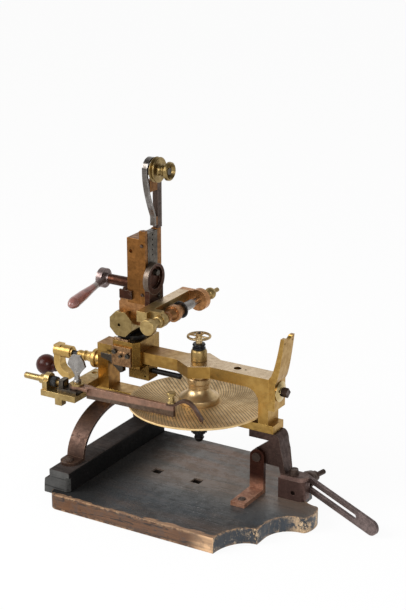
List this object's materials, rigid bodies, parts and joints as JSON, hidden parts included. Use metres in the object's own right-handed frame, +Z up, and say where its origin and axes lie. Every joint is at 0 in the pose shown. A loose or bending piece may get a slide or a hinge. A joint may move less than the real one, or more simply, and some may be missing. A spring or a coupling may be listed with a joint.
{
  "type": "wheel cutting engine",
  "caption": "Bench machine that divides and cuts clock wheels: brass bars hold a dividing plate on an arbor, a sliding, tilting cutter head and an alidade.",
  "frame": {"origin": "on the arbor's axis at the underside of the base board", "axes": "+X along the brass bars towards the horn, +Y to the rear, +Z up along the arbor"},
  "size_m": [0.6228, 0.295, 0.5223],
  "materials": {
    "brass": "aged, satin",
    "bronze": "browned bronze",
    "iron": "browned iron",
    "steel": "dull grey steel",
    "black_steel": "blackened steel",
    "wood_paint": "worn dark paint",
    "red_wood": "polished dark wood",
    "horn_wood": "polished"
  },
  "bodies": {
    "frame": {"base_board": "wood_paint", "end_batten": "wood_paint", "arch_strap": "iron", "right_leg": "iron", "front_stay": "iron", "foot_block": "iron", "frame_screws": "iron", "lower_bar": "brass", "upper_frame": "brass", "left_pillar": "brass", "horn": "brass", "horn_bolt": "brass", "pivot_screw": "black_steel", "thrust_collar": "brass", "index_carrier": "brass", "index_stage": "brass", "link_stud": "iron"},
    "link": {"slotted_link": "iron"},
    "arbor": {"arbor": "black_steel", "dividing_plate": "brass", "plate_hub": "brass", "work_collar": "brass"},
    "handwheel": {"handwheel": "brass"},
    "crank": {"lead_screw": "black_steel", "crank_arm": "brass"},
    "crank_knob": {"crank_knob": "red_wood"},
    "carriage": {"saddle": "brass", "clamp_plate": "bronze", "clamp_screws": "black_steel", "clamp_lever": "steel", "nut_block": "bronze", "swivel_pad": "black_steel", "trunnion_bracket": "brass"},
    "head": {"tilt_knuckle": "brass", "column_base": "bronze", "column": "bronze", "column_cheeks": "bronze", "head_screws": "black_steel", "feed_bearing": "iron", "pulley_bow": "steel", "pulley_post": "iron", "spacer_blocks": "bronze", "pulley_stud": "steel"},
    "guide_pulley": {"guide_pulley": "brass"},
    "feed_lever": {"feed_shaft": "steel", "lever_arm": "iron", "lever_handle": "horn_wood"},
    "cutter_slide": {"slide_strip": "steel", "slide_plate": "iron", "cutter_frame": "brass", "spindle_centres": "brass"},
    "cutter_spindle": {"cutter_arbor": "steel", "cutter": "black_steel", "spindle_cone": "bronze"},
    "micrometer": {"micrometer_screw": "brass"},
    "index_slide": {"index_slide": "steel"},
    "alidade": {"alidade": "iron"},
    "index_spring": {"index_spring": "iron", "lift_knob": "brass"},
    "thumbscrew": {"thumbscrew": "steel"}
  },
  "joints": [
    {"name": "arbor_spin", "type": "hinge", "parent": "frame", "child": "arbor", "pos_m": [0, 0, 0.146], "axis": [0, 0, 1], "continuous": true},
    {"name": "handwheel_turn", "type": "hinge", "parent": "arbor", "child": "handwheel", "pos_m": [0, 0, 0.25], "axis": [0, 0, 1], "range_deg": [-360, 360]},
    {"name": "crank_turn", "type": "hinge", "parent": "frame", "child": "crank", "pos_m": [-0.25, 0, 0.179], "axis": [1, 0, 0], "range_deg": [-1080, 3600]},
    {"name": "carriage_slide", "type": "slide", "parent": "frame", "child": "carriage", "axis": [1, 0, 0], "range_m": [-0.012, 0.04]},
    {"name": "crank_knob_spin", "type": "hinge", "parent": "crank", "child": "crank_knob", "pos_m": [-0.29, 0, 0.148], "axis": [1, 0, 0], "continuous": true},
    {"name": "head_tilt", "type": "hinge", "parent": "carriage", "child": "head", "pos_m": [-0.121, 0, 0.2598], "axis": [0, 1, 0], "range_deg": [-5, 5]},
    {"name": "feed_turn", "type": "hinge", "parent": "head", "child": "feed_lever", "pos_m": [-0.15, -0.0022, 0.3178], "axis": [1, 0, 0], "range_deg": [-35, 35]},
    {"name": "cutter_feed", "type": "slide", "parent": "head", "child": "cutter_slide", "axis": [0, 0, 1], "range_m": [-0.0053, 0.0053]},
    {"name": "spindle_spin", "type": "hinge", "parent": "cutter_slide", "child": "cutter_spindle", "pos_m": [-0.033, 0, 0.289], "axis": [0, 1, 0], "continuous": true},
    {"name": "pulley_spin", "type": "hinge", "parent": "head", "child": "guide_pulley", "pos_m": [-0.075, 0.003, 0.5028], "axis": [1, 0, 0], "continuous": true},
    {"name": "micrometer_turn", "type": "hinge", "parent": "frame", "child": "micrometer", "pos_m": [-0.232, -0.078, 0.16], "axis": [1, 0, 0], "range_deg": [-1800, 1800]},
    {"name": "index_travel", "type": "slide", "parent": "frame", "child": "index_slide", "axis": [1, 0, 0], "range_m": [-0.005, 0.005]},
    {"name": "index_swing", "type": "hinge", "parent": "index_slide", "child": "alidade", "pos_m": [-0.178, -0.072, 0.158], "axis": [0, 0, 1], "range_deg": [-3, 12]},
    {"name": "index_lift", "type": "hinge", "parent": "alidade", "child": "index_spring", "pos_m": [-0.00222, -0.09051, 0.1731], "axis": [0.2588, -0.9659, 0], "range_deg": [0, 8], "stiffness_Nm_per_rad": 1.5, "springref_deg": -2.86},
    {"name": "thumbscrew_turn", "type": "hinge", "parent": "index_slide", "child": "thumbscrew", "pos_m": [-0.178, -0.072, 0.175], "axis": [0, 0, 1], "range_deg": [-180, 180]},
    {"name": "link_swing", "type": "hinge", "parent": "frame", "child": "link", "pos_m": [0.179, 0.0094, 0.0484], "axis": [-0.2164, -0.9763, 0], "range_deg": [0, 70]}
  ],
  "couplings": [
    {"joint": "crank_turn", "follows": "carriage_slide", "rad_per_m": 1570.8},
    {"joint": "feed_turn", "follows": "cutter_feed", "rad_per_m": -114.94},
    {"joint": "micrometer_turn", "follows": "index_travel", "rad_per_m": 6283.2}
  ]
}
